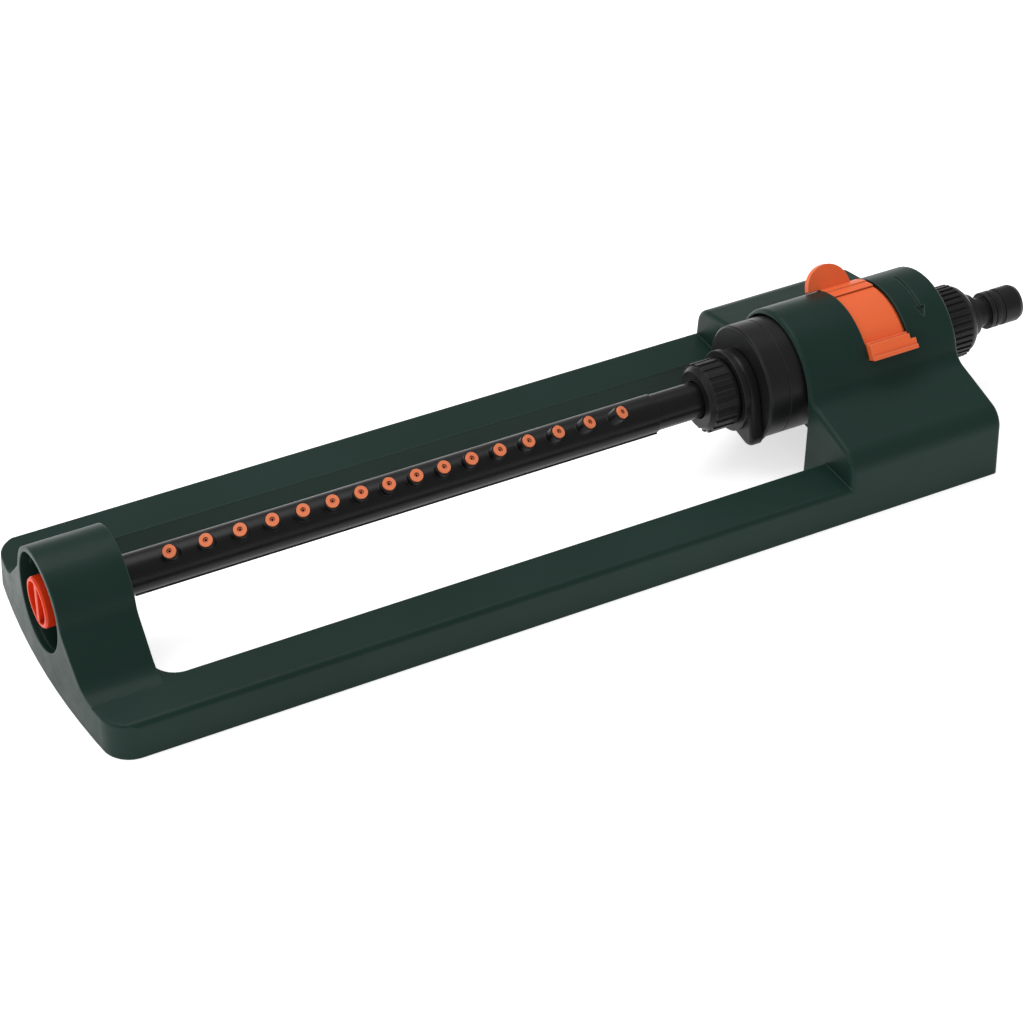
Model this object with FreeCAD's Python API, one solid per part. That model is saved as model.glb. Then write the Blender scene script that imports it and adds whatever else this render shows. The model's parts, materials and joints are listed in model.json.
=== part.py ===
import FreeCAD, Part
import math
import os

# Oscillating lawn sprinkler. Millimetres, +X towards the hose end, -Y is the front,
# z = 0 is the lawn. The spray tube turns about a line along X at height AXIS_Z.

# Driving dimensions of the whole sprinkler
AXIS_Z = 33.1
RIM_X = 104.3            # left face of the motor hump
LEFT_X = RIM_X - 332.6   # left end of the frame at the lawn
RIGHT_X = RIM_X + 74.6   # right end of the frame
HALF_WIDTH = 65.2        # half the width at the lawn
SIDE_DRAFT = 0.075       # how far the sides lean in per millimetre of height
END_DRAFT = 0.027
END_CURVE_R = 378.0      # the left end bulges a little, seen from above
CORNER_R = 12.0
RAIL_TOP = 16.0
RIDGE_R = 2.4            # rounding of the long top edges
END_EDGE_R = 1.2         # rounding of the left end's top edge
WALL = 2.4
WINDOW_LEFT = RIM_X - 299.6
WINDOW_HALF = 43.8
WINDOW_CORNER_R = 10.5
ARCH_R = 22.6
HUMP_R = 29.1
HUMP_BORE = 27.3
HUMP_EDGE_R = 2.0        # rounding of the hump's edges at both ends

# Sliders that set the spray range
SLOT_X0 = RIM_X + 30.4
SLOT_X1 = RIM_X + 51.6
SLOT_ANGLE = 62.5
SLIDER_GAP = 0.4         # beside the strips on the left
SLIDER_GAP_RIGHT = 1.2
SLIDER_FLANGE_IN = 25.1
SLIDER_FLANGE_OUT = 26.8

# Spray tube
TUBE_R = 8.3
TUBE_BORE = 6.2
TUBE_X0 = RIM_X - 324.0
NECK_X = RIM_X - 60.0
SWING_REST = 30.0        # degrees the nozzles lean to the front
KEEL_TURN = 150.0        # where the stiffening rib under the tube sits
NOZZLE_MID_X = RIM_X - 178.2
NOZZLE_PAIRS = 8
TIP_RHO = 12.5

# Gear train
MODULE = 0.7
PINION_TEETH = 8
WHEEL_TEETH = 22
LAY_DISTANCE = MODULE * (PINION_TEETH + WHEEL_TEETH) / 2.0
RUN_GAP = 0.07

X_AXIS = FreeCAD.Vector(1, 0, 0)


def vec(x, y, z):
    return FreeCAD.Vector(x, y, z)


def cyl(r, x0, x1, y=0.0, z=AXIS_Z):
    return Part.makeCylinder(r, x1 - x0, vec(x0, y, z), X_AXIS)


def cone(r0, r1, x0, x1, y=0.0, z=AXIS_Z):
    return Part.makeCone(r0, r1, x1 - x0, vec(x0, y, z), X_AXIS)


def ring(r_out, r_in, x0, x1):
    return cyl(r_out, x0, x1).cut(cyl(r_in, x0 - 1, x1 + 1))


def post(r, z0, z1, x, y):
    return Part.makeCylinder(r, z1 - z0, vec(x, y, z0))


def block(x0, x1, y0, y1, z0, z1):
    return Part.makeBox(x1 - x0, y1 - y0, z1 - z0, vec(x0, y0, z0))


def turned(shape, degrees):
    # Turns a shape about the swing axis, positive towards the front.
    copy = shape.copy()
    copy.rotate(vec(0, 0, AXIS_Z), X_AXIS, degrees)
    return copy


def join(shapes):
    return shapes[0].multiFuse(shapes[1:]).removeSplitter()


def save(shape, node):
    shape.exportStep("parts/" + node + ".step")


# ---- outlines made of straight lines with rounded corners ----

def cross_point(a, b):
    # Where two lines meet. Each line is (nx, ny, c) with nx*x + ny*y = c.
    det = a[0] * b[1] - a[1] * b[0]
    x = (a[2] * b[1] - a[1] * b[2]) / det
    y = (a[0] * b[2] - a[2] * b[0]) / det
    return (x, y)


def line_through(p, q, inset=0.0):
    # The line from p to q with its outside on the left, moved in by inset.
    dx = q[0] - p[0]
    dy = q[1] - p[1]
    size = math.hypot(dx, dy)
    nx = -dy / size
    ny = dx / size
    return (nx, ny, nx * p[0] + ny * p[1] - inset)


def corner_arc(before, at, after, r):
    # Start, middle and end of the arc of radius r that rounds the corner at the point.
    ux = before[0] - at[0]
    uy = before[1] - at[1]
    vx = after[0] - at[0]
    vy = after[1] - at[1]
    ul = math.hypot(ux, uy)
    vl = math.hypot(vx, vy)
    ux, uy, vx, vy = ux / ul, uy / ul, vx / vl, vy / vl
    half = math.acos(max(-1.0, min(1.0, ux * vx + uy * vy))) / 2.0
    run = r / math.tan(half)
    bx = ux + vx
    by = uy + vy
    bl = math.hypot(bx, by)
    reach = r / math.sin(half) - r
    start = (at[0] + ux * run, at[1] + uy * run)
    end = (at[0] + vx * run, at[1] + vy * run)
    middle = (at[0] + bx / bl * reach, at[1] + by / bl * reach)
    return [start, middle, end]


def edges_from(pieces, place):
    # pieces is a list of arcs [start, middle, end]; straight lines join them in turn.
    edges = []
    last = None
    for piece in pieces:
        if last is not None and math.dist(last, piece[0]) > 0.001:
            edges.append(Part.makeLine(place(last), place(piece[0])))
        if len(piece) == 3:
            edges.append(Part.Arc(place(piece[0]), place(piece[1]), place(piece[2])).toShape())
        last = piece[-1]
    return edges


def closed_wire(pieces, place):
    ring_of = pieces + [[pieces[0][0]]]
    return Part.Wire(edges_from(ring_of, place))


def half_hill(top_r, blend_r, lines, radii, inset, bottom):
    # Right half of a round-topped outline: a circle about the swing axis, a hollow blend on
    # to the first line, then the other lines with rounded corners, down to the bottom.
    pieces = []
    if top_r > 0:
        nx, nz, c = lines[0]
        slope = math.atan2(nx, nz)
        reach = top_r + blend_r
        a = slope + math.acos((c + blend_r - AXIS_Z * math.cos(slope)) / reach)
        centre = (reach * math.sin(a), AXIS_Z + reach * math.cos(a))
        r = top_r - inset
        b = blend_r + inset
        touch = (r * math.sin(a), AXIS_Z + r * math.cos(a))
        middle = (r * math.sin(a / 2), AXIS_Z + r * math.cos(a / 2))
        pieces.append([(0.0, AXIS_Z + r), middle, touch])
        m = (a + slope) / 2.0
        pieces.append([touch,
                       (centre[0] - b * math.sin(m), centre[1] - b * math.cos(m)),
                       (centre[0] - b * math.sin(slope), centre[1] - b * math.cos(slope))])
        start = pieces[-1][-1]
    else:
        start = (0.0, (lines[0][2] - inset) / lines[0][1])
        pieces.append([start])
    moved = [(n[0], n[1], n[2] - inset) for n in lines]
    corners = [cross_point(moved[i], moved[i + 1]) for i in range(len(moved) - 1)]
    foot = cross_point(moved[-1], (0.0, 1.0, bottom))
    path = [start] + corners + [foot]
    for i in range(1, len(path) - 1):
        signed = radii[i - 1]
        r = signed - inset if signed > 0 else -signed + inset
        pieces.append(corner_arc(path[i - 1], path[i], path[i + 1], max(r, 0.4)))
    pieces.append([foot])
    return pieces


def mirrored(pieces):
    return [[(-p[0], p[1]) for p in reversed(piece)] for piece in reversed(pieces)]


def hill_prism(top_r, blend_r, lines, radii, inset, bottom, x0, x1):
    half = half_hill(top_r, blend_r, lines, radii, inset, bottom)
    pieces = mirrored(half) + half
    wire = closed_wire(pieces, lambda p: vec(x0, p[0], p[1]))
    return Part.Face(wire).extrude(vec(x1 - x0, 0, 0))


def outline_line(y0, z0, y1, z1):
    # A line of the cross-section running outwards and down, outside above it.
    dx = y1 - y0
    dz = z1 - z0
    size = math.hypot(dx, dz)
    nx = -dz / size
    nz = dx / size
    return (nx, nz, nx * y0 + nz * z0)


SIDE_LINE = outline_line(HALF_WIDTH - SIDE_DRAFT * 40, 40.0, HALF_WIDTH, 0.0)
RAIL_LINE = outline_line(0.0, RAIL_TOP, 60.0, RAIL_TOP)
ARCH_FOOT_Y = 47.0


def rail_prism(inset, bottom, x0, x1):
    return hill_prism(0, 0, [RAIL_LINE, SIDE_LINE], [RIDGE_R], inset, bottom, x0, x1)


def arch_prism(inset, bottom, x0, x1):
    flank = outline_line(27.5, 29.7, 34.0, 22.8)
    side = outline_line(ARCH_FOOT_Y, 40.0, ARCH_FOOT_Y + 0.1, 0.0)
    return hill_prism(ARCH_R, 11.0, [flank, RAIL_LINE, side], [-15.0, 0.5], inset, bottom, x0, x1)


def hump_prism(inset, bottom, x0, x1):
    shoulder = outline_line(38.0, 35.4, 52.0, 32.2)
    return hill_prism(HUMP_R, 7.5, [shoulder, SIDE_LINE], [9.5], inset, bottom, x0, x1)


def plan_wire(inset, z):
    # The frame's outline seen from above, at one height: a slightly curved left end with
    # rounded corners. Its right end is hidden inside the hump.
    side = HALF_WIDTH - SIDE_DRAFT * z
    mid_x = LEFT_X + END_DRAFT * z + END_CURVE_R
    corner_y = side - CORNER_R
    gap = END_CURVE_R - CORNER_R
    corner_x = mid_x - math.sqrt(gap * gap - corner_y * corner_y)
    ux = (corner_x - mid_x) / gap
    uy = corner_y / gap
    turn = (math.atan2(uy, ux) + math.pi / 2) / 2.0
    small = CORNER_R - inset
    big = END_CURVE_R - inset
    pieces = []
    for sign in (1, -1):
        top = (corner_x, sign * (corner_y + small))
        middle = (corner_x + small * math.cos(turn), sign * (corner_y + small * math.sin(turn)))
        touch = (mid_x + ux * big, sign * uy * big)
        pieces.append([top, middle, touch] if sign > 0 else [touch, middle, top])
    pieces.insert(1, [pieces[0][2], (mid_x - big, 0.0), pieces[1][0]])
    right = RIGHT_X - 8.0
    pieces.append([(right, -side + inset)])
    pieces.append([(right, side - inset)])
    return closed_wire(pieces, lambda p: vec(p[0], p[1], z))


def plan_block(inset, z0, z1):
    return Part.makeLoft([plan_wire(inset, z0), plan_wire(inset, z1)], True, True)


def left_part(z1):
    # The left end and the rails, up to a level top with its edge rounded.
    body = plan_block(0.0, 0.0, z1)
    rim = [e for e in body.Edges if all(abs(v.Z - z1) < 0.001 for v in e.Vertexes)]
    return body.makeFillet(END_EDGE_R, rim)


def window_block(grow):
    x0 = WINDOW_LEFT - grow
    x1 = RIM_X + grow
    half = WINDOW_HALF + grow
    points = [(x0, half), (x1, half), (x1, -half), (x0, -half)]
    radii = [WINDOW_CORNER_R + grow, 1.2, 1.2, WINDOW_CORNER_R + grow]
    pieces = []
    for i in range(4):
        pieces.append(corner_arc(points[i - 1], points[i], points[(i + 1) % 4], radii[i]))
    wire = closed_wire(pieces, lambda p: vec(p[0], p[1], -5))
    return Part.Face(wire).extrude(vec(0, 0, 90))


# ---- arcs about the swing axis ----

def on_arc(psi, r):
    # psi is measured from straight up towards the front.
    a = math.radians(psi)
    return (-r * math.sin(a), AXIS_Z + r * math.cos(a))


def sector(r_in, r_out, x0, x1, psi0, psi1):
    mid = (psi0 + psi1) / 2.0

    def at(psi, r):
        y, z = on_arc(psi, r)
        return vec(x0, y, z)

    edges = [
        Part.Arc(at(psi0, r_out), at(mid, r_out), at(psi1, r_out)).toShape(),
        Part.makeLine(at(psi1, r_out), at(psi1, r_in)),
        Part.Arc(at(psi1, r_in), at(mid, r_in), at(psi0, r_in)).toShape(),
        Part.makeLine(at(psi0, r_in), at(psi0, r_out)),
    ]
    return Part.Face(Part.Wire(edges)).extrude(vec(x1 - x0, 0, 0))


# ---- frame ----

def hump_outer():
    body = hump_prism(0.0, 0.0, RIM_X, RIGHT_X)
    outline = []
    for edge in body.Edges:
        ends = [v.X for v in edge.Vertexes]
        level = max(v.Z for v in edge.Vertexes) > 0.5
        if level and max(ends) - min(ends) < 0.001:
            outline.append(edge)
    return body.makeFillet(HUMP_EDGE_R, outline)


def frame_outer():
    arch = arch_prism(0.0, 0.0, LEFT_X - 5, WINDOW_LEFT + 0.001)
    arch = arch.common(plan_block(0.0, 0.0, 80.0))
    rails = rail_prism(0.0, 0.0, LEFT_X - 5, RIGHT_X - 4)
    rails = rails.common(left_part(RAIL_TOP))
    body = join([arch, rails.cut(window_block(0.0))])
    return join([body, hump_outer()])


def frame_hollow():
    arch = arch_prism(WALL, -3.0, LEFT_X - 5, WINDOW_LEFT - WALL)
    rails = rail_prism(WALL, -3.0, LEFT_X - 5, RIM_X + 8)
    rails = rails.cut(window_block(WALL))
    body = join([arch, rails]).common(plan_block(WALL, -3.0, 80.0))
    hump = hump_prism(HUMP_R - HUMP_BORE, -3.0, RIM_X + WALL, RIGHT_X - WALL)
    return join([body, hump])


def saddle_plate(x0, x1):
    # A rib across the inside of the hump that holds the motor from above.
    plate = hump_prism(1.2, CLAMP_Z, x0, x1)
    notch = join([cyl(SADDLE_R, x0 - 1, x1 + 1),
                  block(x0 - 1, x1 + 1, -SADDLE_R, SADDLE_R, -5, AXIS_Z)])
    return plate.cut(notch)


HOLE_R = 20.4
NOTCH_HALF = 28.4
SADDLE_R = 23.45
SADDLE_X = (RIM_X + 16.0, RIM_X + 60.0)
SADDLE_T = 3.0
CLAMP_Y = 31.0
CLAMP_Z = AXIS_Z - 22.6     # where the bars that hold the motor meet their bosses
CLAMP_T = 4.0
SCREW_R = 1.5


def end_barrel():
    # A round wall behind the end hole, so that the plug sits in a recess.
    barrel = ring(HOLE_R + 1.6, HOLE_R, LEFT_X + 3.0, WINDOW_LEFT - 1.0)
    return barrel.common(arch_prism(0.5, 0.0, LEFT_X, WINDOW_LEFT))


def rail_ribs():
    ribs = []
    for i in range(5):
        x = -160.0 + 52.0 * i
        for side in (-1, 1):
            y0 = min(side * (WINDOW_HALF + 1.0), side * (HALF_WIDTH - 4.0))
            y1 = max(side * (WINDOW_HALF + 1.0), side * (HALF_WIDTH - 4.0))
            ribs.append(block(x, x + 1.6, y0, y1, 4.0, RAIL_TOP - 1.0))
    return ribs


def arrow_groove():
    # A shallow arrow cut in the hump beside the slot, pointing to the front.
    x = RIM_X + 62.0
    cuts = [sector(HUMP_R - 0.7, HUMP_R + 1, x - 0.6, x + 0.6, -10.0, 30.0)]
    y, z = on_arc(31.0, HUMP_R)
    head = Part.makePolygon([vec(x - 2.2, 0, 0), vec(x + 2.2, 0, 0), vec(x, -5.0, 0), vec(x - 2.2, 0, 0)])
    tip = Part.Face(head).extrude(vec(0, 0, 2.0))
    tip.translate(vec(0, 0, AXIS_Z + HUMP_R - 0.9))
    cuts.append(turned(tip, 29.0))
    return cuts


def make_base_frame():
    body = frame_outer().cut(frame_hollow())
    extras = [saddle_plate(x, x + SADDLE_T) for x in SADDLE_X] + rail_ribs() + [end_barrel()]
    for x in SADDLE_X:
        for side in (-1, 1):
            boss = post(4.2, CLAMP_Z, CLAMP_Z + 24.0, x + SADDLE_T / 2, side * CLAMP_Y)
            extras.append(boss)
    body = join([body] + extras)
    cuts = [
        cyl(HOLE_R, LEFT_X - 2, LEFT_X + 6),
        cyl(BUSH_R, WINDOW_LEFT - 6, WINDOW_LEFT + 2),
        cyl(HUMP_BORE, RIM_X - 2, RIM_X + 4),
        block(RIM_X - 2, RIM_X + 4, -NOTCH_HALF, NOTCH_HALF, -5, AXIS_Z),
        cyl(14.2, RIGHT_X - 5, RIGHT_X + 2),
        sector(26.0, 33.0, SLOT_X0, SLOT_X1, -SLOT_ANGLE, SLOT_ANGLE),
    ]
    for x in SADDLE_X:
        for side in (-1, 1):
            cuts.append(post(SCREW_R, CLAMP_Z - 4.0, CLAMP_Z + 13.5, x + SADDLE_T / 2, side * CLAMP_Y))
    for cut in cuts + arrow_groove():
        body = body.cut(cut)
    return body


BUSH_R = 10.6


def make_tube_end_bush():
    body = join([cyl(BUSH_R, WINDOW_LEFT - WALL - 1.5, WINDOW_LEFT - 0.3),
                 cyl(BUSH_R + 2.2, WINDOW_LEFT - WALL - 3.2, WINDOW_LEFT - WALL)])
    return body.cut(cyl(TUBE_R + RUN_GAP, WINDOW_LEFT - 12, WINDOW_LEFT + 2))


# ---- motor ----

LOBE_TURN = 132.0
CAP_X0 = RIM_X - 16.6
CAP_X1 = RIM_X + 10.0
CAP_R = 24.9
CAP_LIFT = 1.6
HOUSING_R = 23.3
HOUSING_BORE = 21.2
HOUSING_X1 = RIM_X + 66.0
SPIGOT_R = 12.4
SPIGOT_BORE = 9.0
SPIGOT_X1 = RIM_X + 85.5
SPINDLE_R = 7.5


def make_drum_cap():
    # The round cover at the left of the hump, with one thin groove round it and a small lug
    # in line with the lobe of the turning flange.
    drum_z = AXIS_Z + CAP_LIFT
    drum = join([cone(CAP_R - 0.8, CAP_R, CAP_X0, CAP_X0 + 0.8, 0, drum_z),
                 cyl(CAP_R, CAP_X0 + 0.8, CAP_X1, 0, drum_z)])
    groove_x = RIM_X - 7.2
    groove = cyl(CAP_R + 1, groove_x, groove_x + 0.5, 0, drum_z)
    drum = drum.cut(groove.cut(cyl(CAP_R - 0.4, groove_x - 1, groove_x + 2, 0, drum_z)))
    lug = cone(5.6, 3.6, CAP_X0, CAP_X0 + 4.6, 0, AXIS_Z + 19.6)
    body = join([drum, turned(lug, LOBE_TURN), cyl(HOUSING_BORE, CAP_X1 - 1, CAP_X1 + 5.0)])
    body = body.cut(cyl(19.2, CAP_X0 + 3.0, CAP_X1 + 6.0))
    hub = cyl(SPINDLE_R + 3.0, CAP_X0 + 2.0, CAP_X1 + 2.0)
    body = join([body, hub])
    body = body.cut(cyl(SPINDLE_R + RUN_GAP, CAP_X0 - 2, CAP_X1 + 8))
    return body.cut(cyl(9.3, CAP_X0 - 1, CAP_X0 + 3.2))


def make_spindle_seal():
    return ring(9.3, SPINDLE_R + RUN_GAP, CAP_X0 + 0.6, CAP_X0 + 3.0)


def make_motor_housing():
    shell = join([cyl(HOUSING_R, CAP_X1, HOUSING_X1),
                  cyl(24.7, RIM_X + 24.0, RIM_X + 57.0),
                  cyl(SPIGOT_R, HOUSING_X1 - 1, SPIGOT_X1)])
    shell = shell.cut(cyl(HOUSING_BORE, CAP_X1 - 1, HOUSING_X1 - 2.6))
    shell = shell.cut(cyl(SPIGOT_BORE, HOUSING_X1 - 4, SPIGOT_X1 + 1))
    lip = ring(HOUSING_BORE + 0.5, 19.8, RIM_X + 43.0, RIM_X + 44.0)
    return join([shell, lip])


def make_gear_plate():
    # The wall between the gears and the water wheel.
    plate = cyl(HOUSING_BORE, RIM_X + 44.0, RIM_X + 46.5)
    holes = [cyl(4.4, RIM_X + 43, RIM_X + 48),
             cyl(PIN_R, RIM_X + 43, RIM_X + 48, 0, AXIS_Z - LAY_DISTANCE)]
    for i in range(3):
        a = math.radians(90 * i)
        holes.append(cyl(3.2, RIM_X + 43, RIM_X + 48, 14.0 * math.cos(a), AXIS_Z + 14.0 * math.sin(a)))
    for hole in holes:
        plate = plate.cut(hole)
    return plate


def make_jet_plate():
    # The plate with slanting ports that throw the water on to the wheel.
    plate = cyl(HOUSING_BORE, RIM_X + 60.6, RIM_X + 63.2)
    plate = plate.cut(cyl(PIN_R, RIM_X + 60, RIM_X + 64))
    for i in range(4):
        port = block(RIM_X + 59, RIM_X + 65, 8.5, 12.5, AXIS_Z - 1.2, AXIS_Z + 1.2)
        port.rotate(vec(RIM_X + 62, 10.5, AXIS_Z), vec(0, 1, 0), 25)
        port.rotate(vec(0, 0, AXIS_Z), X_AXIS, 90 * i + 45)
        plate = plate.cut(port)
    return plate


PIN_R = 1.25


def gear(teeth, x0, x1, phase, y=0.0, z=AXIS_Z):
    # A spur gear along X. A tooth is centred at the phase angle, measured from +Y towards +Z.
    pitch_r = MODULE * teeth / 2.0
    root_r = pitch_r - 1.15 * MODULE
    tip_r = pitch_r + 0.75 * MODULE
    step = 2 * math.pi / teeth
    points = []
    for i in range(teeth):
        a = math.radians(phase) + i * step
        for r, share in ((root_r, -0.27), (tip_r, -0.11), (tip_r, 0.11), (root_r, 0.27)):
            b = a + share * step
            points.append(vec(x0, y + r * math.cos(b), z + r * math.sin(b)))
    return Part.Face(Part.makePolygon(points + [points[0]])).extrude(vec(x1 - x0, 0, 0))


def make_turbine_wheel():
    hub = cyl(3.4, RIM_X + 47.5, RIM_X + 59.5)
    disc = cyl(14.5, RIM_X + 49.0, RIM_X + 50.6)
    blades = []
    for i in range(10):
        blade = block(RIM_X + 50.0, RIM_X + 58.5, 3.0, 14.5, AXIS_Z - 0.6, AXIS_Z + 0.6)
        blades.append(turned(blade, 36.0 * i))
    neck = cyl(2.2, RIM_X + 38.0, RIM_X + 48.0)
    pinion = gear(PINION_TEETH, RIM_X + 37.5, RIM_X + 43.0, -90.0)
    body = join([hub, disc, neck, pinion] + blades)
    return body.cut(cyl(PIN_R + RUN_GAP, RIM_X + 30, RIM_X + 62))


def make_turbine_pin():
    return cyl(PIN_R, RIM_X + 36.6, RIM_X + 63.2)


def make_lay_gear():
    z = AXIS_Z - LAY_DISTANCE
    gap_phase = 90.0 + 180.0 / WHEEL_TEETH
    wheel = gear(WHEEL_TEETH, RIM_X + 38.4, RIM_X + 42.0, gap_phase, 0, z)
    pinion = gear(PINION_TEETH, RIM_X + 30.6, RIM_X + 39.0, 90.0, 0, z)
    return join([wheel, pinion]).cut(cyl(PIN_R + RUN_GAP, RIM_X + 20, RIM_X + 45, 0, z))


def make_lay_pin():
    return cyl(PIN_R, RIM_X + 28.5, RIM_X + 46.5, 0, AXIS_Z - LAY_DISTANCE)


def make_output_wheel():
    gap_phase = -90.0 + 180.0 / WHEEL_TEETH
    wheel = gear(WHEEL_TEETH, RIM_X + 31.2, RIM_X + 35.4, gap_phase)
    return wheel.cut(cyl(3.0, RIM_X + 30, RIM_X + 37))


def make_drive_spindle():
    # The hollow shaft that carries the water out to the tube and is turned by the last wheel.
    body = join([cyl(SPINDLE_R, ADAPTER_X1, RIM_X + 24.0),
                 cyl(4.6, RIM_X + 23.0, RIM_X + 31.2),
                 cyl(3.0, RIM_X + 31.0, RIM_X + 35.4)])
    body = body.cut(cyl(5.0, ADAPTER_X1 - 1, RIM_X + 22.0))
    for i in range(2):
        port = block(RIM_X + 12.0, RIM_X + 20.0, -9, 9, AXIS_Z - 2.2, AXIS_Z + 2.2)
        body = body.cut(turned(port, 90 * i))
    return body


TRIP_Z = AXIS_Z + 14.5


def make_trip_lever():
    # The lever that sends the water to the other side of the wheel at each end of the swing.
    hub = cyl(2.8, RIM_X + 25.0, RIM_X + 28.5, 0, TRIP_Z)
    arms = block(RIM_X + 25.0, RIM_X + 27.0, -9.0, 9.0, TRIP_Z - 1.2, TRIP_Z + 1.2)
    tail = block(RIM_X + 25.0, RIM_X + 27.0, -1.2, 1.2, TRIP_Z - 7.5, TRIP_Z)
    return join([hub, arms, tail]).cut(cyl(PIN_R + RUN_GAP, RIM_X + 20, RIM_X + 32, 0, TRIP_Z))


def make_trip_bracket():
    # A cross wall in the housing with the pins of the lever and the lay gear's free end.
    plate = cyl(HOUSING_BORE, RIM_X + 28.9, RIM_X + 30.2)
    plate = plate.cut(cyl(6.5, RIM_X + 28, RIM_X + 31))
    plate = plate.cut(cyl(PIN_R, RIM_X + 28, RIM_X + 31, 0, AXIS_Z - LAY_DISTANCE))
    for side in (-1, 1):
        plate = plate.cut(cyl(4.0, RIM_X + 28, RIM_X + 31, side * 13.0, AXIS_Z - 2.0))
    return join([plate, cyl(PIN_R, RIM_X + 24.0, RIM_X + 29.5, 0, TRIP_Z)])


def make_motor_clamps():
    bars = []
    low = CLAMP_Z - CLAMP_T
    for x in SADDLE_X:
        mid = x + SADDLE_T / 2
        bar = block(mid - 3.5, mid + 3.5, -CLAMP_Y - 4.0, CLAMP_Y + 4.0, low, CLAMP_Z - 0.05)
        bar = bar.cut(cyl(HOUSING_R + 0.05, mid - 5, mid + 5))
        for side in (-1, 1):
            bar = bar.cut(post(SCREW_R + 0.2, low - 1, CLAMP_Z + 1, mid, side * CLAMP_Y))
        bars.append(bar)
    return Part.makeCompound(bars)


def make_clamp_screws():
    screws = []
    top = CLAMP_Z - CLAMP_T
    for x in SADDLE_X:
        mid = x + SADDLE_T / 2
        for side in (-1, 1):
            y = side * CLAMP_Y
            head = post(3.2, top - 2.1, top, mid, y)
            shank = post(SCREW_R, top - 0.5, CLAMP_Z + 11.0, mid, y)
            slot_a = block(mid - 2.0, mid + 2.0, y - 0.4, y + 0.4, top - 3.0, top - 1.1)
            slot_b = block(mid - 0.4, mid + 0.4, y - 2.0, y + 2.0, top - 3.0, top - 1.1)
            screws.append(join([head, shank]).cut(slot_a).cut(slot_b))
    return Part.makeCompound(screws)


# ---- range sliders ----

STRIP_X0 = SLOT_X0 + SLIDER_GAP
STRIP_X1 = SLOT_X1 - SLIDER_GAP_RIGHT
FLANGE_X0 = SLOT_X0 - 2.6
FLANGE_X1 = SLOT_X1 + 2.0
STRIP_IN = 26.4
FRONT_TOP = 28.0
REAR_UNDER = 28.35
REAR_TOP = 29.3
REAR_LOW = 28.8


def make_front_slider():
    flange = sector(SLIDER_FLANGE_IN, SLIDER_FLANGE_OUT, FLANGE_X0, FLANGE_X1, -12.0, 64.0)
    strip = sector(STRIP_IN, FRONT_TOP, STRIP_X0, STRIP_X1, -12.0, 61.0)
    lip = sector(27.0, 32.4, STRIP_X0, STRIP_X1, 48.6, 61.0)
    wing = sector(HUMP_R + 0.4, 32.4, STRIP_X1 - 1, STRIP_X1 + 2.6, 53.0, 61.0)
    step = sector(27.0, 30.6, STRIP_X0, STRIP_X1, 46.6, 49.0)
    ridge = sector(32.0, 33.2, STRIP_X0, STRIP_X1 + 2.6, 58.0, 61.0)
    return join([flange, strip, lip, wing, step, ridge])


def make_rear_slider():
    strip = sector(REAR_UNDER, REAR_LOW, STRIP_X0, STRIP_X1, -60.0, -9.0)
    thick = sector(REAR_UNDER, REAR_TOP, STRIP_X0, STRIP_X1, -60.0, -20.0)
    foot = sector(STRIP_IN, REAR_TOP, STRIP_X0, STRIP_X1, -60.0, -50.0)
    flange = sector(SLIDER_FLANGE_IN, SLIDER_FLANGE_OUT, FLANGE_X0, FLANGE_X1, -76.0, -50.0)
    mid_x = RIM_X + 35.2
    tab = Part.makeCylinder(10.4, 2.8, vec(mid_x, -1.4, AXIS_Z + 29.3), vec(0, 1, 0))
    trim = block(mid_x - 20, mid_x + 20, -5, 5, AXIS_Z + REAR_UNDER + 0.1, AXIS_Z + 60)
    tab = turned(tab.common(trim), -33.0)
    side = block(STRIP_X0 - 30, STRIP_X0, -60, 60, 0, AXIS_Z + HUMP_R + 6)
    tab = tab.cut(side.common(cyl(HUMP_R + 0.5, STRIP_X0 - 20, STRIP_X0)))
    other = block(STRIP_X1, STRIP_X1 + 30, -60, 60, 0, AXIS_Z + HUMP_R + 6)
    tab = tab.cut(other.common(cyl(HUMP_R + 0.5, STRIP_X1, STRIP_X1 + 20)))
    return join([strip, thick, foot, flange, tab])


# ---- spray tube ----

COLLAR_X0 = RIM_X - 38.5
COLLAR_X1 = RIM_X - 25.0
ADAPTER_X1 = RIM_X - 17.0
SEAT_X = RIM_X - 33.8


def nozzle_places():
    # Nozzle tips fan out: the spacing and the tilt grow towards both ends of the row.
    places = []
    for i in range(NOZZLE_PAIRS):
        u = i + 0.5
        offset = 12.27 * u + 0.0208 * u ** 3
        tilt = 27.0 * (offset / 100.8) ** 1.15
        for side in (-1, 1):
            places.append((NOZZLE_MID_X + side * offset, side * tilt))
    return places


def nozzle_solid(r, rho0, rho1, tip_x, tilt):
    # A round piece on one nozzle's line, between two distances from the tube's middle.
    a = math.radians(tilt)
    foot_x = tip_x - TIP_RHO * math.tan(a) * 0.45
    lean = 5.6 * math.tan(a) / 5.5
    base = vec(foot_x + (rho0 - 7.0) * lean, 0, AXIS_Z + rho0)
    way = vec(math.sin(a), 0, math.cos(a))
    piece = Part.makeCylinder(r, (rho1 - rho0) / math.cos(a), base, way)
    return turned(piece, SWING_REST)


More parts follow.
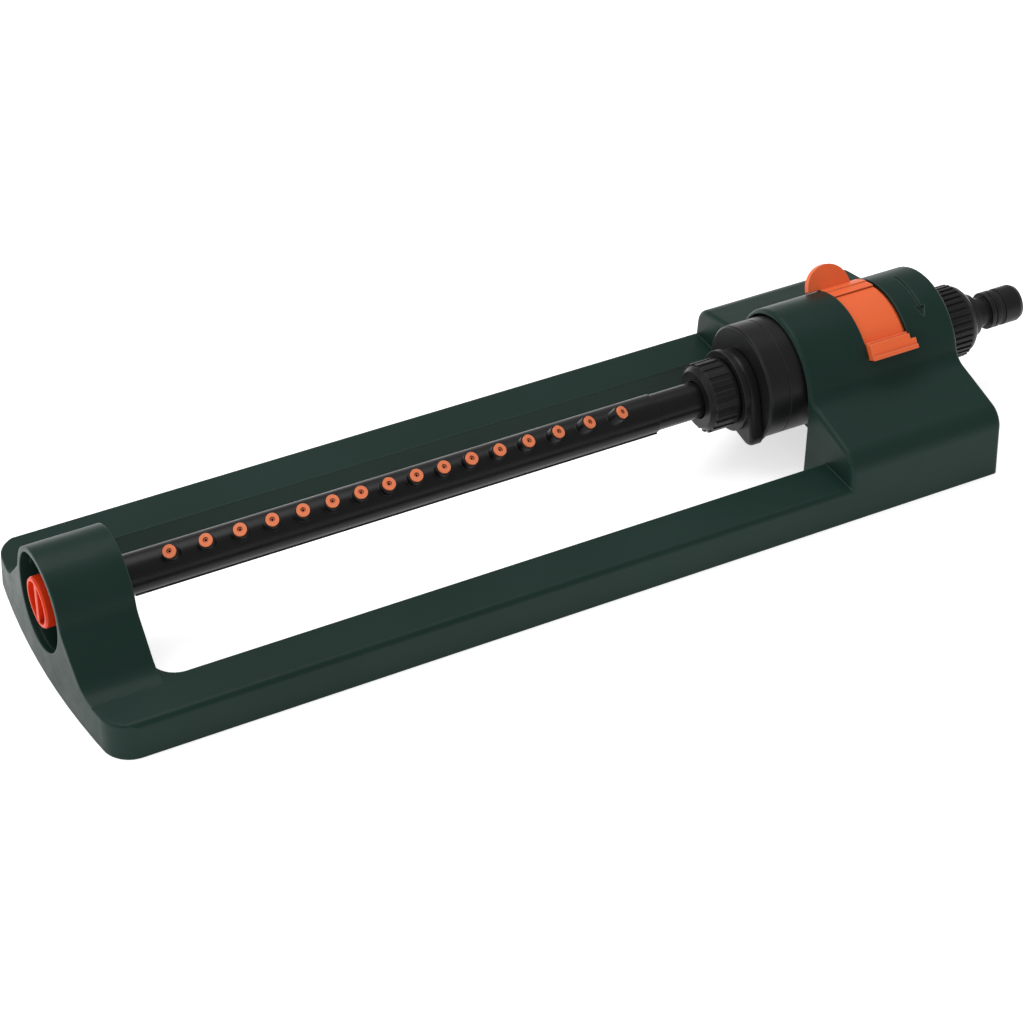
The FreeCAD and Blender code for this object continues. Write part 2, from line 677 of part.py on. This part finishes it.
def make_spray_tube():
    main = cyl(TUBE_R, TUBE_X0, NECK_X)
    neck = cyl(7.8, NECK_X - 1, SEAT_X)
    flange = cyl(11.6, SEAT_X - 2.0, SEAT_X)
    keel = block(WINDOW_LEFT + 6.0, NECK_X, -1.8, 1.8, AXIS_Z, AXIS_Z + TUBE_R + 0.5)
    body = join([main, neck, flange, turned(keel, KEEL_TURN)])
    bosses = [nozzle_solid(3.3, 6.8, 11.4, x, tilt) for x, tilt in nozzle_places()]
    body = join([body] + bosses)
    body = body.cut(cyl(TUBE_BORE, TUBE_X0 - 1, SEAT_X + 1))
    for x, tilt in nozzle_places():
        body = body.cut(nozzle_solid(1.1, 5.0, 9.6, x, tilt))
        body = body.cut(nozzle_solid(2.3, 9.2, 13.5, x, tilt))
    return body


def make_nozzle_tips():
    tips = []
    for x, tilt in nozzle_places():
        stem = nozzle_solid(2.3, 9.2, 12.0, x, tilt)
        head = nozzle_solid(2.7, 11.45, 12.5, x, tilt)
        tip = join([stem, head])
        tip = tip.cut(nozzle_solid(1.15, 11.9, 13.5, x, tilt))
        tips.append(tip.cut(nozzle_solid(0.5, 8.5, 13.5, x, tilt)))
    return Part.makeCompound(tips)


def ribbed(core, r_in, r_out, x0, x1, count, width):
    ribs = []
    for i in range(count):
        rib = block(x0, x1, -width / 2, width / 2, AXIS_Z + r_in, AXIS_Z + r_out)
        ribs.append(turned(rib, 360.0 * i / count))
    return join([core] + ribs)


def make_tube_collar():
    # The nut that clamps the tube on to the motor, with fine ribs for the fingers.
    core = join([cone(12.4, 14.4, COLLAR_X0, COLLAR_X0 + 2.4), cyl(14.4, COLLAR_X0 + 2.4, COLLAR_X1)])
    body = ribbed(core, 13.6, 15.0, COLLAR_X0 + 2.0, COLLAR_X1 - 1.6, 20, 2.3)
    body = body.cut(cyl(8.3, COLLAR_X0 - 1, COLLAR_X0 + 4))
    return body.cut(cyl(12.45, COLLAR_X0 + 2.65, COLLAR_X1 + 1))


LOBE_RHO = 20.1
LOBE_R = 5.6
PLATE_R = 16.8


def cam_plate(x0, x1):
    # A round plate drawn out into a rounded lobe with straight flanks.
    spread = math.acos((PLATE_R - LOBE_R) / LOBE_RHO)
    corners = []
    for sign, order in ((1, (PLATE_R, LOBE_R)), (-1, (LOBE_R, PLATE_R))):
        for r in order:
            rise = LOBE_RHO if r == LOBE_R else 0.0
            corners.append(vec(x0, sign * r * math.sin(spread), AXIS_Z + rise + r * math.cos(spread)))
    web = Part.Face(Part.makePolygon(corners + [corners[0]])).extrude(vec(x1 - x0, 0, 0))
    tip = cyl(LOBE_R, x0, x1, 0, AXIS_Z + LOBE_RHO)
    plate = join([cyl(PLATE_R, x0, x1), web, tip])
    front = [e for e in plate.Edges if all(abs(v.X - x0) < 0.001 for v in e.Vertexes)]
    return turned(plate.makeFillet(2.2, front), LOBE_TURN)


def make_tube_adapter():
    # The turning piece between motor and tube, with a round lobe that marks the swing.
    spigot = cyl(12.4, SEAT_X + 1.6, COLLAR_X1 + 1)
    flange = cyl(17.6, COLLAR_X1 + 0.6, RIM_X - 22.0)
    body = join([spigot, flange, cam_plate(RIM_X - 22.2, ADAPTER_X1)])
    return body.cut(cyl(5.0, SEAT_X - 1, ADAPTER_X1 + 1))


def make_tube_washer():
    return ring(11.4, 6.3, SEAT_X, SEAT_X + 1.6)


# ---- clean-out end ----

PLUG_X0 = RIM_X - 332.0
PLUG_HEAD = 6.4
NEEDLE_R = 0.7


def make_end_plug():
    # A round knob whose face is hollow but for a bar across it to turn it by.
    back = PLUG_X0 + PLUG_HEAD
    head = join([cone(9.9, 10.5, PLUG_X0, PLUG_X0 + 0.8), cyl(10.5, PLUG_X0 + 0.8, back)])
    head = head.cut(cyl(8.9, PLUG_X0 - 1, PLUG_X0 + 3.2))
    bar = block(PLUG_X0 + 0.1, PLUG_X0 + 3.6, -1.3, 1.3, AXIS_Z - 9.3, AXIS_Z + 9.3)
    shank = cyl(TUBE_BORE - 0.08, back - 0.4, back + 12.6)
    body = join([head, bar, shank])
    return body.cut(cyl(NEEDLE_R, back + 5.6, back + 14))


def make_cleaning_needle():
    start = PLUG_X0 + PLUG_HEAD + 5.6
    return join([cyl(NEEDLE_R, start, start + 10.0), cyl(0.4, start + 9.0, start + 24.0)])


def make_plug_washer():
    return ring(9.4, TUBE_BORE, PLUG_X0 + PLUG_HEAD, TUBE_X0)


# ---- hose end ----

NUT_X0 = RIM_X + 75.3
NUT_R = 15.4
NECK_R = 6.5
NIPPLE_R = 8.2
RING_GROOVE_R = 6.7
RING_END = 114.8         # right side of the groove for the sealing ring
TIP_RUN = 124.0          # length from the hump's left face to the tip
CAVITY_X1 = SPIGOT_X1 + 2.0


def make_hose_connector():
    core = join([cone(14.6, NUT_R, NUT_X0, NUT_X0 + 1.2), cyl(NUT_R, NUT_X0 + 1.2, RIM_X + 92.6)])
    body = ribbed(core, 14.4, 16.2, NUT_X0 + 1.2, RIM_X + 91.6, 34, 1.5)
    pieces = [body]
    cones = [(NUT_R, 14.6, 92.6, 94.4), (14.6, 13.0, 94.4, 96.0), (13.0, 10.3, 96.0, 97.2),
             (10.3, 9.4, 97.2, 100.8), (9.4, NECK_R, 100.8, 103.0), (NIPPLE_R, 7.4, 122.2, TIP_RUN)]
    for r0, r1, x0, x1 in cones:
        pieces.append(cone(r0, r1, RIM_X + x0, RIM_X + x1))
    steps = [(NECK_R, 103.0, 107.6), (NIPPLE_R, 107.6, 109.6), (7.5, 109.6, 110.3), (NIPPLE_R, 110.3, 112.4),
             (RING_GROOVE_R, 112.4, RING_END), (NIPPLE_R, RING_END, 122.2)]
    for r, x0, x1 in steps:
        pieces.append(cyl(r, RIM_X + x0, RIM_X + x1))
    body = join(pieces)
    body = body.cut(cyl(SPIGOT_R + 0.06, NUT_X0 - 1, CAVITY_X1))
    return body.cut(cyl(5.0, CAVITY_X1 - 1, RIM_X + TIP_RUN + 1))


def make_nipple_ring():
    return ring(7.95, RING_GROOVE_R, RIM_X + 112.6, RIM_X + RING_END - 0.2)


def make_connector_washer():
    return ring(12.2, 5.2, SPIGOT_X1, CAVITY_X1)


def make_inlet_filter():
    cup = ring(SPIGOT_BORE, 7.6, SPIGOT_X1 - 10.0, SPIGOT_X1 - 0.4)
    screen = cyl(SPIGOT_BORE, SPIGOT_X1 - 10.8, SPIGOT_X1 - 9.8)
    body = join([cup, screen])
    for i in range(-2, 3):
        for j in range(-2, 3):
            if i * i + j * j < 7:
                body = body.cut(cyl(0.8, SPIGOT_X1 - 12, SPIGOT_X1 - 9, 2.4 * i, AXIS_Z + 2.4 * j))
    return body


MAKERS = {
    "base_frame": make_base_frame,
    "tube_end_bush": make_tube_end_bush,
    "drum_cap": make_drum_cap,
    "spindle_seal": make_spindle_seal,
    "motor_housing": make_motor_housing,
    "gear_plate": make_gear_plate,
    "jet_plate": make_jet_plate,
    "turbine_wheel": make_turbine_wheel,
    "turbine_pin": make_turbine_pin,
    "lay_gear": make_lay_gear,
    "lay_pin": make_lay_pin,
    "output_wheel": make_output_wheel,
    "drive_spindle": make_drive_spindle,
    "trip_lever": make_trip_lever,
    "trip_bracket": make_trip_bracket,
    "motor_clamps": make_motor_clamps,
    "clamp_screws": make_clamp_screws,
    "front_slider": make_front_slider,
    "rear_slider": make_rear_slider,
    "spray_tube": make_spray_tube,
    "nozzle_tips": make_nozzle_tips,
    "tube_collar": make_tube_collar,
    "tube_adapter": make_tube_adapter,
    "tube_washer": make_tube_washer,
    "end_plug": make_end_plug,
    "cleaning_needle": make_cleaning_needle,
    "plug_washer": make_plug_washer,
    "hose_connector": make_hose_connector,
    "nipple_ring": make_nipple_ring,
    "connector_washer": make_connector_washer,
    "inlet_filter": make_inlet_filter,
}

os.makedirs("parts", exist_ok=True)
for node, maker in MAKERS.items():
    shape = maker()
    print(node, "solids", len(shape.Solids), "valid", shape.isValid(), "volume", round(shape.Volume))
    save(shape, node)
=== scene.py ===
import json
import math

import bpy
from mathutils import Matrix, Vector


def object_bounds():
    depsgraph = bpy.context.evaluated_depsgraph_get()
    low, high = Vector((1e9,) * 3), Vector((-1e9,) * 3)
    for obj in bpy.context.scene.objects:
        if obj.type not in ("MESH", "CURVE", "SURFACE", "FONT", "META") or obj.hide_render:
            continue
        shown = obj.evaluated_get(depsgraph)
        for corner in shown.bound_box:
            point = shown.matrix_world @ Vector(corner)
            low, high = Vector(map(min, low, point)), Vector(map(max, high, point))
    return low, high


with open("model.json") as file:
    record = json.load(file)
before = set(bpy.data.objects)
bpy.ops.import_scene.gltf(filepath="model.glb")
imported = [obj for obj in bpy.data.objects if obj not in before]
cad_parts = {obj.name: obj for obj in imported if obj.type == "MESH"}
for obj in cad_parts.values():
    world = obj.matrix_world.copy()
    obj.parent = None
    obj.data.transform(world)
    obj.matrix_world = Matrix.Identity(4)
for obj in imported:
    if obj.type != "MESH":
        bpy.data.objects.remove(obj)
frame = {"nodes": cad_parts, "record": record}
CAD_LOW, CAD_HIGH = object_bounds()

# Where the camera stands, in metres and degrees: it looks at TARGET from this direction and distance.
TARGET = Vector((-0.02091, 0.0, 0.00379))
AZIMUTH = -28.27
ELEVATION = 38.41
ROLL = 0.918
DISTANCE = 1.2369
LENS_MM = 104.55
SENSOR_MM = 36.0
NEAREST = 0.01
FARTHEST = 50.0

# The floor is a softly lit table, so that shadows on it stay faint.
FLOOR_GLOW = 0.62
FLOOR_HALF_WIDTH = 6.0
FLOOR_DROP = 0.0002

# The lamps shine at the middle of the sprinkler. Sizes are in metres, powers in watts.
LIT_POINT = Vector((0, 0, 0.03))
WORLD_LIGHT = 0.5
WHITE = (1, 1, 1, 1)

# A colour Mix node's sockets go by number, because its number and vector sockets have the same names.
MIX_BELOW = 6
MIX_ABOVE = 7
MIX_RESULT = 2

# Edges: how far the softened normal leans from the true one, as a cosine, at no painted highlight and
# at full painted highlight.
EDGE_NONE = 0.995
EDGE_FULL = 0.86
EDGE_PAINTED_HIGHLIGHT = 0.7

# Recesses: how open a point is to the sky around it, at no painted shade and at full painted shade.
RECESS_NONE = 0.75
RECESS_FULL = 0.25
RECESS_PAINTED_SHADE = 0.45
RECESS_REACH = 0.004
RECESS_SHADE = 0.35
NOZZLE_REACH = 0.0014


# ---- node helpers ----

class Material:
    """A node material with a few shortcuts for adding nodes and joining them."""

    def __init__(self, name):
        self.mat = bpy.data.materials.new(name)
        self.mat.use_nodes = True
        self.tree = self.mat.node_tree
        self.tree.nodes.clear()
        self.out = self.node("ShaderNodeOutputMaterial")
        self.shader = self.node("ShaderNodeBsdfPrincipled")
        self.join(self.shader, "BSDF", self.out, "Surface")
        self.coords = self.node("ShaderNodeTexCoord")

    def node(self, kind, **settings):
        made = self.tree.nodes.new(kind)
        for key, value in settings.items():
            setattr(made, key, value)
        return made

    def join(self, source, out_socket, target, in_socket):
        self.tree.links.new(source.outputs[out_socket], target.inputs[in_socket])

    def noise(self, scale, detail, rough, stretch=(1, 1, 1)):
        """Cloudy noise, in waves per metre; a stretch above 1 packs it closer along that axis."""
        place = self.node("ShaderNodeMapping")
        place.inputs["Scale"].default_value = stretch
        self.join(self.coords, "Object", place, "Vector")
        noise = self.node("ShaderNodeTexNoise")
        noise.inputs["Scale"].default_value = scale
        noise.inputs["Detail"].default_value = detail
        noise.inputs["Roughness"].default_value = rough
        self.join(place, "Vector", noise, "Vector")
        return noise

    def ramp(self, source, socket, low, high, low_value, high_value):
        """Turns the range low to high into low_value to high_value."""
        made = self.node("ShaderNodeMapRange")
        made.inputs["From Min"].default_value = low
        made.inputs["From Max"].default_value = high
        made.inputs["To Min"].default_value = low_value
        made.inputs["To Max"].default_value = high_value
        self.join(source, socket, made, "Value")
        return made

    def mix(self, factor_node, factor_socket, below, above):
        """Fades from one plain colour to another."""
        made = self.node("ShaderNodeMix", data_type="RGBA")
        made.inputs[MIX_BELOW].default_value = (*below, 1)
        made.inputs[MIX_ABOVE].default_value = (*above, 1)
        self.join(factor_node, factor_socket, made, "Factor")
        return made

    def blend(self, factor_node, factor_socket, below, above):
        """Lays a plain colour over the result of an earlier colour mix."""
        made = self.node("ShaderNodeMix", data_type="RGBA")
        self.join(below, MIX_RESULT, made, MIX_BELOW)
        made.inputs[MIX_ABOVE].default_value = (*above, 1)
        self.join(factor_node, factor_socket, made, "Factor")
        return made

    def scaled(self, source, socket, amount):
        made = self.node("ShaderNodeMath", operation="MULTIPLY")
        made.inputs[1].default_value = amount
        self.join(source, socket, made, 0)
        return made

    def bump(self, strength, depth, height):
        """A bump from a noise node's value."""
        made = self.node("ShaderNodeBump")
        made.inputs["Strength"].default_value = strength
        made.inputs["Distance"].default_value = depth
        self.join(height, "Fac", made, "Height")
        return made

    def edge_mask(self, radius):
        """1 near sharp edges and 0 on open faces, from the bevel normal."""
        bevel = self.node("ShaderNodeBevel", samples=6)
        bevel.inputs["Radius"].default_value = radius
        geometry = self.node("ShaderNodeNewGeometry")
        dot = self.node("ShaderNodeVectorMath", operation="DOT_PRODUCT")
        self.join(bevel, "Normal", dot, 0)
        self.join(geometry, "Normal", dot, 1)
        return self.ramp(dot, "Value", EDGE_NONE, EDGE_FULL, 0.0, 1.0)

    def recess_mask(self, reach):
        """1 deep in narrow recesses and 0 on open faces."""
        shade = self.node("ShaderNodeAmbientOcclusion", samples=8)
        shade.inputs["Distance"].default_value = reach
        return self.ramp(shade, "AO", RECESS_NONE, RECESS_FULL, 0.0, 1.0)

    def grained_normal(self, grain, edge_radius):
        """Rounded edges, slow waves and fine grain."""
        bevel = self.node("ShaderNodeBevel", samples=8)
        bevel.inputs["Radius"].default_value = edge_radius
        wave = self.bump(0.05, 0.0006, self.noise(60.0, 2.0, 0.5))
        self.join(bevel, "Normal", wave, "Normal")
        fine = self.bump(grain, 0.0001, self.noise(1500.0, 2.0, 0.5))
        self.join(wave, "Normal", fine, "Normal")
        self.join(fine, "Normal", self.shader, "Normal")


def moulded_plastic(name, dark, mid, light, roughness, grain, edge_radius, specular):
    """Injection-moulded plastic: cloudy colour, fine grain, edges painted paler as a painted
    highlight, recesses painted darker as painted shade.
    """
    plastic = Material(name)
    cloud = plastic.noise(9.0, 4.0, 0.55)
    blotch = plastic.ramp(cloud, "Fac", 0.35, 0.68, 0.0, 1.0)
    colour = plastic.mix(blotch, "Result", dark, mid)
    # Edges are painted paler here: a painted highlight, masked by the bevel normal.
    painted_highlight = plastic.scaled(plastic.edge_mask(edge_radius), "Result", EDGE_PAINTED_HIGHLIGHT)
    highlighted = plastic.blend(painted_highlight, "Value", colour, light)
    # Recesses are painted darker here: painted shade, masked by ambient occlusion.
    painted_shade = plastic.scaled(plastic.recess_mask(RECESS_REACH), "Result", RECESS_PAINTED_SHADE)
    shaded = tuple(RECESS_SHADE * part for part in dark)
    recess_shaded = plastic.blend(painted_shade, "Value", highlighted, shaded)
    plastic.join(recess_shaded, MIX_RESULT, plastic.shader, "Base Color")
    smear = plastic.noise(38.0, 5.0, 0.6, (1.0, 2.5, 2.5))
    rough = plastic.ramp(smear, "Fac", 0.3, 0.7, roughness - 0.05, roughness + 0.07)
    plastic.join(rough, "Result", plastic.shader, "Roughness")
    plastic.grained_normal(grain, edge_radius)
    plastic.shader.inputs["Specular IOR Level"].default_value = specular
    return plastic


# ---- the material of each slot ----

def green_shell():
    return moulded_plastic(
        "green_shell", dark=(0.0082, 0.0240, 0.0188), mid=(0.0110, 0.0300, 0.0238),
        light=(0.060, 0.100, 0.088), roughness=0.38, grain=0.28, edge_radius=0.0009, specular=0.11).mat


def black_shell():
    return moulded_plastic(
        "black_shell", dark=(0.0075, 0.0075, 0.0080), mid=(0.0115, 0.0115, 0.0122),
        light=(0.045, 0.045, 0.048), roughness=0.36, grain=0.25, edge_radius=0.0005, specular=0.18).mat


def black_tube():
    return moulded_plastic(
        "black_tube", dark=(0.0050, 0.0048, 0.0052), mid=(0.0075, 0.0072, 0.0078),
        light=(0.045, 0.045, 0.047), roughness=0.30, grain=0.18, edge_radius=0.0005, specular=0.20).mat


def orange_shell():
    return moulded_plastic(
        "orange_shell", dark=(0.80, 0.130, 0.036), mid=(0.86, 0.150, 0.044),
        light=(0.90, 0.28, 0.14), roughness=0.45, grain=0.15, edge_radius=0.0006, specular=0.2).mat


def red_orange():
    return moulded_plastic(
        "red_orange", dark=(0.62, 0.028, 0.004), mid=(0.68, 0.038, 0.006),
        light=(0.88, 0.16, 0.05), roughness=0.38, grain=0.15, edge_radius=0.0006, specular=0.15).mat


def orange_rubber():
    """Soft nozzle tips: pale orange discs whose recessed middle is painted dark red as painted shade
    in the hole.
    """
    rubber = moulded_plastic(
        "orange_rubber", dark=(0.74, 0.190, 0.080), mid=(0.80, 0.230, 0.100),
        light=(0.92, 0.42, 0.26), roughness=0.55, grain=0.2, edge_radius=0.0002, specular=0.2)
    base = rubber.shader.inputs["Base Color"].links[0].from_node
    # The recessed middle of the tip is painted dark red: painted shade in the hole, masked by ambient
    # occlusion.
    painted_hole_shade = rubber.blend(rubber.recess_mask(NOZZLE_REACH), "Result", base, (0.10, 0.008, 0.003))
    rubber.join(painted_hole_shade, MIX_RESULT, rubber.shader, "Base Color")
    return rubber.mat


def black_rubber():
    return moulded_plastic(
        "black_rubber", dark=(0.008, 0.008, 0.008), mid=(0.013, 0.013, 0.013),
        light=(0.03, 0.03, 0.03), roughness=0.65, grain=0.3, edge_radius=0.0003, specular=0.25).mat


def white_acetal():
    return moulded_plastic(
        "white_acetal", dark=(0.66, 0.64, 0.58), mid=(0.72, 0.70, 0.65),
        light=(0.8, 0.79, 0.75), roughness=0.35, grain=0.1, edge_radius=0.0002, specular=0.4).mat


def steel():
    """Plain turned steel with fine rings of tool marks."""
    metal = Material("steel")
    marks = metal.noise(900.0, 2.0, 0.5, (1.0, 0.2, 0.2))
    tone = metal.ramp(marks, "Fac", 0.3, 0.7, 0.0, 1.0)
    colour = metal.mix(tone, "Result", (0.46, 0.46, 0.46), (0.6, 0.6, 0.61))
    metal.join(colour, MIX_RESULT, metal.shader, "Base Color")
    rough = metal.ramp(marks, "Fac", 0.3, 0.7, 0.24, 0.4)
    metal.join(rough, "Result", metal.shader, "Roughness")
    metal.join(metal.bump(0.1, 0.0001, marks), "Normal", metal.shader, "Normal")
    metal.shader.inputs["Metallic"].default_value = 1.0
    return metal.mat


MAKERS = {
    "green_shell": green_shell,
    "black_shell": black_shell,
    "black_tube": black_tube,
    "orange_shell": orange_shell,
    "red_orange": red_orange,
    "orange_rubber": orange_rubber,
    "black_rubber": black_rubber,
    "white_acetal": white_acetal,
    "steel": steel,
}


def paint_nodes():
    """Gives every CAD node the material of its slot."""
    made = {name: maker() for name, maker in MAKERS.items()}
    for part in frame["record"]["subparts"]:
        node = frame["nodes"][part["node"]]
        node.data.materials.clear()
        node.data.materials.append(made[part["material_slot"]])
        node.data.polygons.foreach_set("material_index", [0] * len(node.data.polygons))


# ---- floor, light and camera ----

def pale_floor():
    pale = Material("floor_pale")
    cloud = pale.noise(2.0, 2.0, 0.5)
    colour = pale.mix(cloud, "Fac", (0.86, 0.86, 0.86), (0.88, 0.88, 0.88))
    pale.join(colour, MIX_RESULT, pale.shader, "Base Color")
    pale.shader.inputs["Roughness"].default_value = 0.9
    pale.shader.inputs["Specular IOR Level"].default_value = 0.1
    pale.shader.inputs["Emission Color"].default_value = WHITE
    pale.shader.inputs["Emission Strength"].default_value = FLOOR_GLOW
    return pale.mat


def make_floor():
    """A square floor a hair below the frame's lower rim."""
    mesh = bpy.data.meshes.new("floor")
    half = FLOOR_HALF_WIDTH
    z = CAD_LOW.z - FLOOR_DROP
    corners = [(-half, -half, z), (half, -half, z), (half, half, z), (-half, half, z)]
    mesh.from_pydata(corners, [], [(0, 1, 2, 3)])
    floor = bpy.data.objects.new("floor", mesh)
    bpy.context.scene.collection.objects.link(floor)
    mesh.materials.append(pale_floor())


def area_light(name, place, size, power):
    """A rectangular lamp that shines at the sprinkler."""
    data = bpy.data.lights.new(name, "AREA")
    data.shape = "RECTANGLE"
    data.size = size[0]
    data.size_y = size[1]
    data.energy = power
    obj = bpy.data.objects.new(name, data)
    bpy.context.scene.collection.objects.link(obj)
    obj.location = place
    obj.rotation_mode = "QUATERNION"
    obj.rotation_quaternion = (LIT_POINT - obj.location).to_track_quat("-Z", "Y")


def make_lights():
    area_light("key_top", (-0.2, 0.5, 1.6), (1.8, 1.2), 17.5)
    area_light("fill_front", (-0.9, -1.5, 1.0), (1.4, 1.0), 0.6)
    area_light("side_left", (-1.7, 0.1, 0.6), (1.0, 1.0), 6.5)
    world = bpy.data.worlds.new("studio")
    world.use_nodes = True
    back = world.node_tree.nodes["Background"]
    back.inputs["Color"].default_value = WHITE
    back.inputs["Strength"].default_value = WORLD_LIGHT
    bpy.context.scene.world = world


def make_camera():
    around = math.radians(AZIMUTH)
    rise = math.radians(ELEVATION)
    flat = math.cos(rise)
    back = Vector((math.sin(around) * flat, -math.cos(around) * flat, math.sin(rise)))
    data = bpy.data.cameras.new("camera")
    data.lens = LENS_MM
    data.sensor_width = SENSOR_MM
    data.clip_start = NEAREST
    data.clip_end = FARTHEST
    camera = bpy.data.objects.new("camera", data)
    bpy.context.scene.collection.objects.link(camera)
    camera.location = TARGET + back * DISTANCE
    right = Vector((math.cos(around), math.sin(around), 0.0))
    up = back.cross(right)
    turn = Matrix((right, up, back)).transposed().to_4x4()
    roll = Matrix.Rotation(math.radians(ROLL), 4, "Z")
    camera.matrix_world = Matrix.Translation(camera.location) @ turn @ roll
    bpy.context.scene.camera = camera


paint_nodes()
make_floor()
make_lights()
make_camera()
bpy.context.scene.view_settings.view_transform = "Standard"
